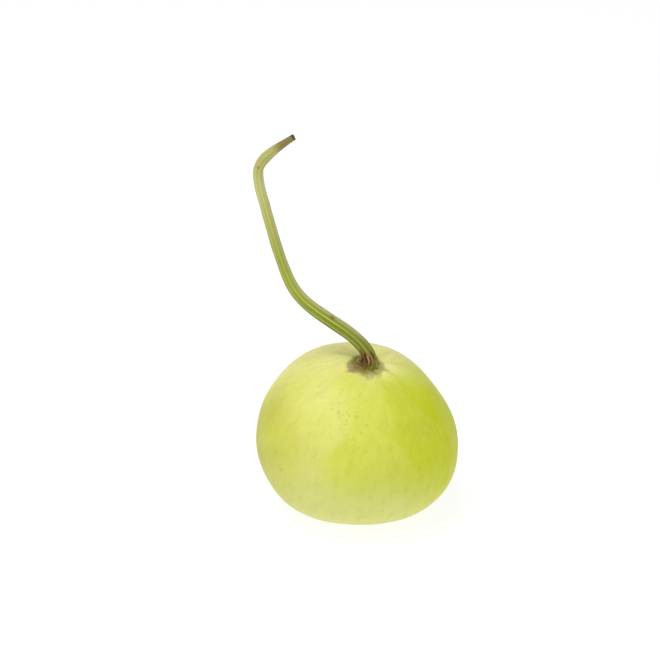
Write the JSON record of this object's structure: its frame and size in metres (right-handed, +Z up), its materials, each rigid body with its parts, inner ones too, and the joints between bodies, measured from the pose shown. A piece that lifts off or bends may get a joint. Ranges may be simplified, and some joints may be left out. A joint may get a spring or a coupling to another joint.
{
  "type": "bottle gourd",
  "caption": "Round pale green bottle gourd resting on its underside, with a long, curved, ridged stem that flares onto the fruit.",
  "frame": {"origin": "centre of the flat spot under the fruit, on the surface it rests on", "axes": "+Z up, from the resting spot towards the stem; +X to the right across the gourd; +Y away from its front, the side the fruit leans towards"},
  "size_m": [0.1295, 0.1296, 0.2595],
  "materials": {
    "gourd_skin": "satin",
    "stem_skin": "matte"
  },
  "bodies": {
    "root": {"fruit": "gourd_skin", "stem": "stem_skin"}
  },
  "joints": []
}
